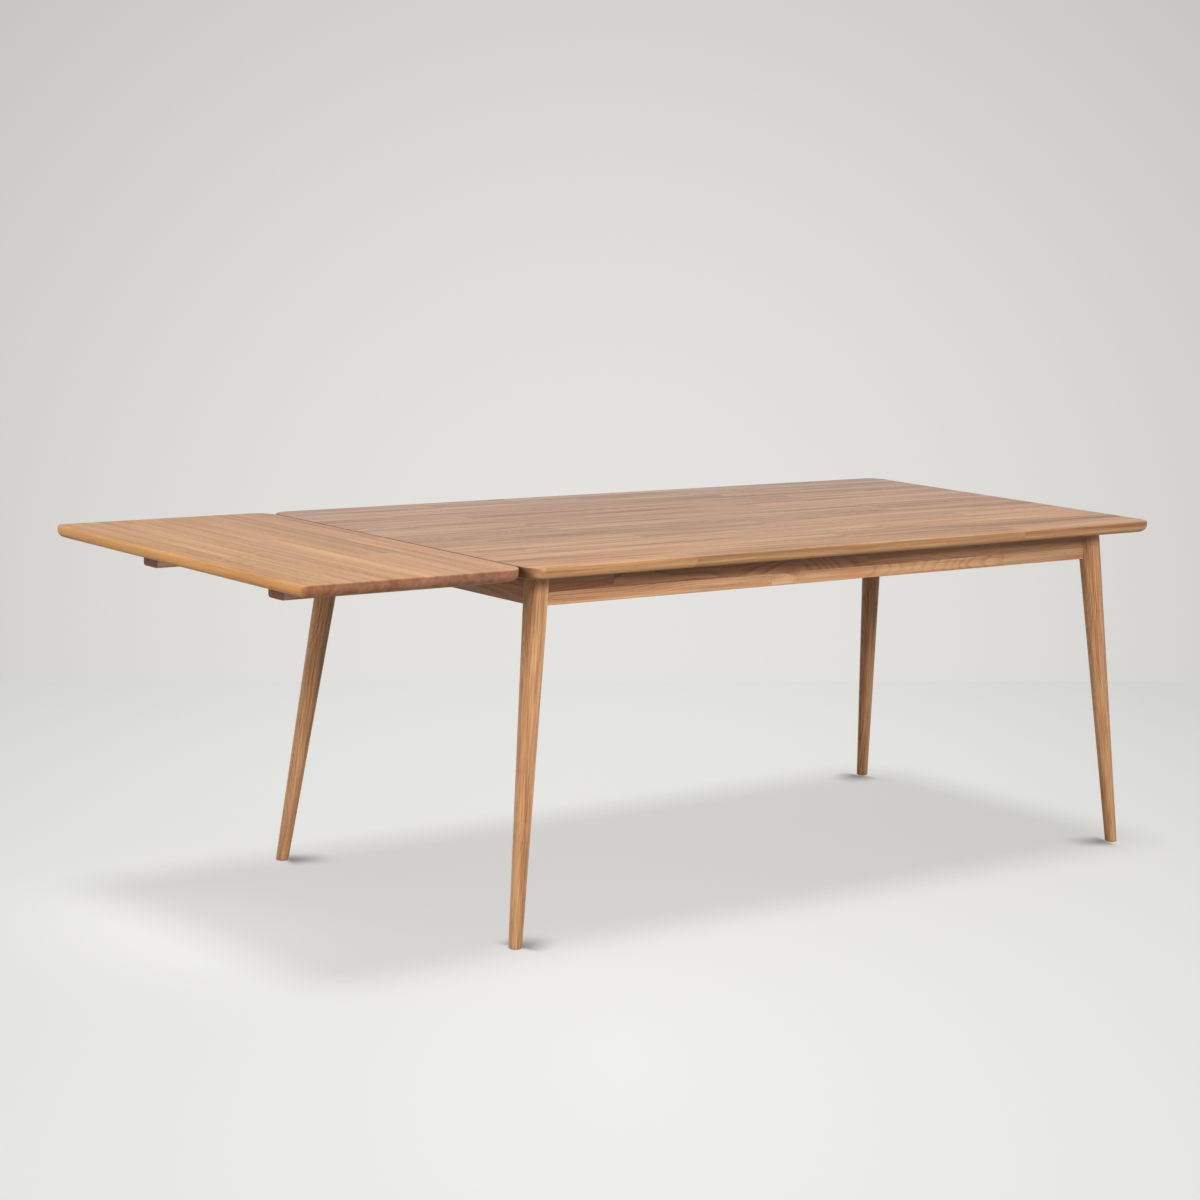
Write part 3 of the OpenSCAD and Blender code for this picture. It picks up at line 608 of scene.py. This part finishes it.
def beech(name, along):
    """Bare beech: a pale, even wood, with fine grain and short dark flecks along it.
    The pattern is stretched along one direction: place / width, plus the part of the
    place along it times (1 / length - 1 / width)."""
    grain_w, grain_l = 0.0020, 0.060
    fleck_w, fleck_l = 0.0006, 0.0030
    along = Vector(along).normalized()
    made = bpy.data.materials.new(name)
    made.use_nodes = True
    tree = made.node_tree
    tree.nodes.clear()
    place = add(tree, "TexCoord").outputs["Object"]
    lengthwise = add(tree, "VectorMath", {0: place, 1: along}, operation="DOT_PRODUCT")
    noises = []
    for long, wide in ((grain_l, grain_w), (fleck_l, fleck_w)):
        shift = add(tree, "VectorMath", {0: along * (1 / long - 1 / wide),
                                         "Scale": lengthwise.outputs["Value"]},
                    operation="SCALE")
        stretched = add(tree, "VectorMath", {0: place, 1: (1 / wide,) * 3, 2: shift},
                        operation="MULTIPLY_ADD")
        noises.append(add(tree, "TexNoise", {"Vector": stretched, "Scale": 1, "Detail": 2}))
    grain, specks = noises
    base = add(tree, "ValToRGB", {"Fac": grain},
               stops=[(0.30, "#dcbd97"), (0.50, "#cfa97f"), (0.72, "#bf946a")])
    flecks = add(tree, "MapRange", {"Value": specks, 1: 0.60, 2: 0.70, 3: 0, 4: 0.55})
    colour = add(tree, "Mix", {"Factor": flecks, 6: base, 7: tone("#97683f")},
                 data_type="RGBA")
    bump = add(tree, "Bump", {"Height": specks, "Strength": 0.15, "Distance": 0.0002})
    shader = add(tree, "BsdfPrincipled", {"Base Color": colour.outputs[2], "Roughness": 0.62,
                                          "IOR": 1.5, "Normal": bump})
    add(tree, "OutputMaterial", {"Surface": shader})
    return made


pin_length = pin_high.x - pin_low.x
pin_steps = ((0, pin_r - pin_bevel / 2), (pin_bevel / 2, pin_r),
             (pin_length - pin_bevel, pin_r), (pin_length, pin_r - pin_bevel))
pins = skin("beech_leaf_pins", *(turned_rings((pin_low.x, y, pin_z), (1, 0, 0), pin_steps)
                                 for y in pin_places))
dressed(pins, beech("beech_turned", (1, 0, 0)), (1, 0, 0), (0, 1, 0), pin_low, "leaf",
        "beech", "leaf_pins")

# The four legs: turned from solid oak as slender cones, each bolted into its corner of
# the aprons at a splay of about eight degrees, with an eased edge at the floor.
foot_d, head_d = 0.0266, 0.0500
foot_in, head_in = Vector((0.029, 0.040)), Vector((0.103, 0.106))
foot_ease = 0.0022
recess_r, recess_top, leg_bottom, level_first = 0.0104, 0.0031, 0.001, 0.02
leg_sides, leg_levels, ease_steps = 96, 15, 7
leg_stave_l, leg_stave_w, leg_stave_below = 30, 0.2, 0.5

# Each corner of the main top, with the way inwards from it along X and along Y
table_corners = {"front_left": (top_low.x, 1, top_low.y, 1),
                 "front_right": (top_high.x, -1, top_low.y, 1),
                 "back_left": (top_low.x, 1, top_high.y, -1),
                 "back_right": (top_high.x, -1, top_high.y, -1)}


def cone_rings(foot, head, stations, grow=0):
    """Rings of a slanted cone cut level: each station is a height and an inset. Round
    the axis a point lies at foot + t axis + r(t) round, with r linear in t, and t is
    taken where that line reaches the station's height."""
    slope = head - foot
    axis = np.array(slope.normalized())
    side = np.array(Vector((0, 0, 1)).cross(slope).normalized())
    turn = np.linspace(0, 2 * math.pi, leg_sides, endpoint=False)[:, None]
    round_it = np.cos(turn) * side + np.sin(turn) * np.cross(axis, side)
    taper = (head_d - foot_d) / 2 / slope.length
    height, inset = np.array(stations).T[:, :, None]
    start_r = foot_d / 2 + grow - inset
    t = (height - foot.z - start_r * round_it[:, 2]) / (axis[2] + taper * round_it[:, 2])
    radius = start_r + taper * t
    return np.array(foot) + t[..., None] * axis + radius[..., None] * round_it


leg_oak = oak("oiled_oak_leg", along=(0, 0, 1), stave_l=leg_stave_l, stave_w=leg_stave_w,
              light="#e5b07e", dark="#86522e", blush="#f8ece2", end="#b89b91",
              seed=23, rings=0.3, swings=(0.34, 0.20, 0.14))

# From the floor up: the hollow for the glide, the eased edge, and the cone
recess = [(recess_top, foot_d / 2 - recess_r), (leg_bottom, foot_d / 2 - recess_r)]
ease = [(leg_bottom + foot_ease * (1 - math.sin(t)), foot_ease * (1 - math.cos(t)))
        for t in np.linspace(math.pi / 2, 0, ease_steps)]
levels = [(z, 0) for z in np.linspace(leg_bottom + level_first, top_low.z, leg_levels)]
leg_lines = {}
for number, (corner, (x, inward, y, backward)) in enumerate(table_corners.items()):
    foot = Vector((x + inward * foot_in.x, y + backward * foot_in.y, 0))
    head = Vector((x + inward * head_in.x, y + backward * head_in.y, top_low.z))
    leg_lines[corner] = (foot, head)
    leg = skin("oak_" + corner + "_leg", cone_rings(foot, head, recess + ease + levels))
    # Each leg is one stave of its own, with its axis in the stave's middle
    middle = Vector((foot.x, foot.y - leg_stave_w / 2, -leg_stave_below - number * leg_stave_l))
    dressed(leg, leg_oak, head - foot, (0, 1, 0), middle, "table", "oak_leg", corner + "_leg")

# A nylon glide under each foot, nailed into the end grain. It is moulded, so its
# surface is an even satin with rounded edges.
clouds_per_m = 700

# Pairs of a height and a radius: the disc with its rounded lower edge, then the nail
glide_steps = ((0, 0.0084), (0.0003, 0.0092), (0.0012, 0.0100), (0.0030, 0.0100),
               (0.0030, 0.0013), (0.0165, 0.0013), (0.0180, 0.0002))
glides = skin("nylon_glides", *(turned_rings(foot, (0, 0, 1), glide_steps)
                                for foot, head in leg_lines.values()))
moulded = bpy.data.materials.new("moulded_nylon")
moulded.use_nodes = True
tree = moulded.node_tree
tree.nodes.clear()
cloudy = add(tree, "TexNoise", {"Vector": add(tree, "TexCoord").outputs["Object"],
                                "Scale": clouds_per_m, "Detail": 3})
dull = add(tree, "ValToRGB", {"Fac": cloudy}, stops=[(0.35, "#463f38"), (0.65, "#554d45")])
rough = add(tree, "MapRange", {"Value": cloudy, 3: 0.42, 4: 0.58})
bump = add(tree, "Bump", {"Height": cloudy, "Strength": 0.1, "Distance": 0.0001})
shader = add(tree, "BsdfPrincipled", {"Base Color": dull, "Roughness": rough, "IOR": 1.53,
                                      "Normal": bump})
add(tree, "OutputMaterial", {"Surface": shader})
dressed(glides, moulded, (0, 0, 1), (1, 0, 0), (0, 0, 0), "table", "nylon", "foot_glides")

# The front and back aprons: each is glued up from rows of 26 mm oak staves, hollowed at
# its ends to fit the round legs, and mitred behind them against the end aprons.
cope_fit = 0.0002
apron_ease = 0.0015
apron_spare = 0.010
bolt_in = Vector((0.118, 0.121))
bolt_hole_r, bolt_reach = 0.0045, 0.060
clip_half, clip_bite, slot_h = 0.015, 0.009, 0.0018
slot_drop = 0.0119
clip_first, clip_end = 0.240, 0.180
apron_stave_l, apron_stave_w = 0.70, 0.026
apron_low, apron_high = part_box("front_apron")
guide_low, guide_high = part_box("guide_rail")
stop_low, stop_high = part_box("stop_rail")
bolt_z = (apron_low.z + apron_high.z) / 2
guide_mid, stop_mid = (guide_low.x + guide_high.x) / 2, (stop_low.x + stop_high.x) / 2
last_clip = top_high.x - clip_first
clip_places = (top_low.x + clip_first, (guide_mid + stop_mid) / 2, (stop_mid + last_clip) / 2,
               last_clip)
half_h = (apron_high.z - apron_low.z) / 2
slot_top = top_low.z - slot_drop


def corner_cuts(corner, side):
    """The solids that a table corner takes out of an apron: the leg's cone with a little
    room, the far side of the mitre, and the hole for the hanger bolt. Side is 1 for
    a long apron and -1 for an end apron."""
    x, inward, y, backward = table_corners[corner]
    foot, head = leg_lines[corner]
    room = 0.010
    cone = cone_rings(foot, head, ((apron_low.z - room, 0), (apron_high.z + room, 0)), cope_fit)
    start = Vector((x + inward * bolt_in.x, y + backward * bolt_in.y, bolt_z))
    inwards = Vector((inward, backward, 0)).normalized()
    sideways = Vector((-inward, backward, 0)).normalized() * side
    near, far = sideways * -cope_fit / 2, sideways * bolt_reach
    plan = [start + near - inwards * bolt_reach, start + near + inwards * bolt_reach,
            start + far + inwards * bolt_reach, start + far - inwards * bolt_reach]
    half = Vector((0, 0, half_h + room))
    mitre = np.array([[point - half for point in plan], [point + half for point in plan]])
    hole = turned_rings(start, inwards, ((-bolt_reach, bolt_hole_r), (bolt_reach, bolt_hole_r)))
    return [cone, mitre, hole]


def eased(axis):
    """Corner radii of an apron's section, which is carried along X or Y: its two lower
    edges are eased with a plane, and the upper ones are left sharp under the top."""
    return {0: (apron_ease, sharp, sharp, apron_ease),
            1: (sharp, sharp, apron_ease, apron_ease)}[axis]


# The upper rows of the front and back aprons are tinted darker: partly a darker stave, partly
# painted shade under the overhang of the top.
apron_oak = oak("oiled_oak_apron", along=(1, 0, 0), stave_l=apron_stave_l, stave_w=apron_stave_w,
                light="#edbf90", dark="#92623b", blush="#f0dcd4", end="#b89b91",
                seed=37, rings=0.36, swings=(0.12, 0.20, 0.16),
                rows=(1, "#ffffff", "#d6c5bb"))
for name, corner_names in (("front_apron", ("front_left", "front_right")),
                           ("back_apron", ("back_left", "back_right"))):
    low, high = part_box(name)
    inner = high.y if name == "front_apron" else low.y
    solids = [piece for corner in corner_names for piece in corner_cuts(corner, 1)]
    solids += [block((x - clip_half, inner - clip_bite, slot_top - slot_h),
                     (x + clip_half, inner + clip_bite, slot_top), 0) for x in clip_places]
    spare = Vector((apron_spare, 0, 0))
    apron = skin("oak_" + name, block(low - spare, high + spare, 0, eased(0)))
    cut(apron, *solids)
    dressed(apron, apron_oak, (1, 0, 0), (0, 0, 1), low, "table", "oak_apron", name)

# The end aprons and the two cross rails between the long aprons, of the same staved
# oak. The left end apron and the guide rail are notched from above for the bearers.
end_oak = oak("oiled_oak_end_apron", along=(0, 1, 0), stave_l=apron_stave_l, stave_w=half_h,
              light="#dca878", dark="#8c5a38", blush="#f0dcd4", end="#b89b91",
              seed=41, rings=0.36, swings=(0.12, 0.16, 0.14))
slide_fit = 0.0004
notches = []
for name in ("front_bearer", "back_bearer"):
    low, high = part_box(name)
    for rail_low, rail_high in (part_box("left_end_apron"), (guide_low, guide_high)):
        notches.append(block((rail_low.x - apron_spare, low.y - slide_fit, low.z - slide_fit),
                             (rail_high.x + apron_spare, high.y + slide_fit,
                              top_low.z + apron_spare), 0))
for name, corner_names, clip_ys in (
        ("left_end_apron", ("front_left", "back_left"), (0,)),
        ("right_end_apron", ("front_right", "back_right"), (-clip_end, clip_end)),
        ("guide_rail", (), ()), ("stop_rail", (), ())):
    low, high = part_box(name)
    inner = high.x if name == "left_end_apron" else low.x
    solids = [piece for corner in corner_names for piece in corner_cuts(corner, -1)]
    solids += [block((inner - clip_bite, y - clip_half, slot_top - slot_h),
                     (inner + clip_bite, y + clip_half, slot_top), 0) for y in clip_ys]
    solids += {"left_end_apron": notches[0::2], "guide_rail": notches[1::2]}.get(name, [])
    spare = Vector((0, apron_spare, 0)) if corner_names else Vector()
    rail = skin("oak_" + name, block(low - spare, high + spare, 1, eased(1)))
    if solids:
        cut(rail, *solids)
    dressed(rail, end_oak, (0, 1, 0), (0, 0, 1), low, "table", "oak_apron", name)

# The two bearers: oak runners with rounded lower edges, that slide in the notches, and
# carry the leaf when they are pulled out. They are left darker, from a dense part of the log.
bearer_stave_l, bearer_stave_w, stave_start = 30, 0.12, Vector((0.5, 0.03, 0))
bearer_round, bearer_ease, bearer_end_ease = 0.007, 0.002, 0.0015
peg_bevel, peg_fit = 0.0012, 0.0001
# Their side faces are tinted much lighter and pinker: partly the wood, partly painted light under
# the leaf.
bearer_oak = oak("oiled_oak_bearer", along=(1, 0, 0), stave_l=bearer_stave_l,
                 stave_w=bearer_stave_w, light="#cda27e", dark="#80583c", blush="#f0dcd6",
                 end="#a98a5c", seed=53, rings=0.3, swings=(0.12, 0.16, 0.14),
                 edge=(1.55, 1.75, 2.2))
for number, side in enumerate(("front", "back")):
    low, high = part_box(side + "_bearer")
    peg_low, peg_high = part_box(side + "_bearer_stop")
    peg_r = (peg_high.x - peg_low.x) / 2
    peg_place = Vector(((peg_low.x + peg_high.x) / 2, (peg_low.y + peg_high.y) / 2, peg_low.z))
    peg_l = peg_high.z - peg_low.z
    bearer = skin("oak_" + side + "_bearer", block(
        low, high, 0, (bearer_round, bearer_ease, bearer_ease, bearer_round),
        bearer_end_ease, bearer_end_ease))
    cut(bearer, turned_rings(peg_place, (0, 0, 1), ((-peg_r, peg_r + peg_fit),
                                                    (peg_l + peg_fit, peg_r + peg_fit))))
    # Each bearer is cut from another stave, three rows on from the last
    row_start = low - stave_start - Vector((0, 3 * bearer_stave_w * number, 0))
    dressed(bearer, bearer_oak, (1, 0, 0), (0, 1, 0), row_start, side + "_bearer",
            "oak_bearer", side + "_bearer")
    peg = skin("beech_" + side + "_stop", turned_rings(peg_place, (0, 0, 1), (
        (0, peg_r - peg_bevel), (peg_bevel, peg_r), (peg_l, peg_r))))
    dressed(peg, beech("beech_peg_" + side, (0, 0, 1)), (0, 0, 1), (1, 0, 0), peg_place,
            side + "_bearer", "beech", side + "_bearer_stop")

# Sawn beech corner blocks, screwed and glued behind the legs, with the grain running
# from apron to apron, and the dowels of the joints, which are hidden inside.


def finish_nodes(material, *nodes):
    """Gives CAD nodes that stay as they are their material."""
    for node in nodes:
        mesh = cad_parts[node].data
        mesh.materials.clear()
        mesh.materials.append(material)


rising, falling = beech("beech_sawn_rising", (1, 1, 0)), beech("beech_sawn_falling", (1, -1, 0))
finish_nodes(falling, "front_left_corner_block", "back_right_corner_block")
finish_nodes(rising, "front_right_corner_block", "back_left_corner_block")
finish_nodes(beech("beech_dowel_x", (1, 0, 0)), "apron_dowels")
finish_nodes(beech("beech_dowel_y", (0, 1, 0)), "rail_dowels")

# Zinc-plated steel: hanger bolts with their nuts and washers, screws, and the clips
# that hold the top down and let it shrink and swell. Barrel plating leaves it satin.
mottles_per_m, scuffs_per_m = 300, 2200
zinc = bpy.data.materials.new("zinc_plated_steel")
zinc.use_nodes = True
tree = zinc.node_tree
tree.nodes.clear()
place = add(tree, "TexCoord").outputs["Object"]
mottle = add(tree, "TexNoise", {"Vector": place, "Scale": mottles_per_m, "Detail": 4})
scuff = add(tree, "TexNoise", {"Vector": place, "Scale": scuffs_per_m, "Detail": 2})
plate = add(tree, "ValToRGB", {"Fac": mottle},
            stops=[(0.3, "#a9adb0"), (0.5, "#bcc0c2"), (0.7, "#cdd0d0")])
rough = add(tree, "MapRange", {"Value": mottle, 1: 0.3, 2: 0.7, 3: 0.30, 4: 0.46})
bump = add(tree, "Bump", {"Height": scuff, "Strength": 0.12, "Distance": 0.0001})
shader = add(tree, "BsdfPrincipled", {"Base Color": plate, "Metallic": 1, "Roughness": rough,
                                      "Normal": bump})
add(tree, "OutputMaterial", {"Surface": shader})
finish_nodes(zinc, "hanger_bolts", "bolt_washers", "bolt_nuts", "block_screws", "top_clips",
             "clip_screws")
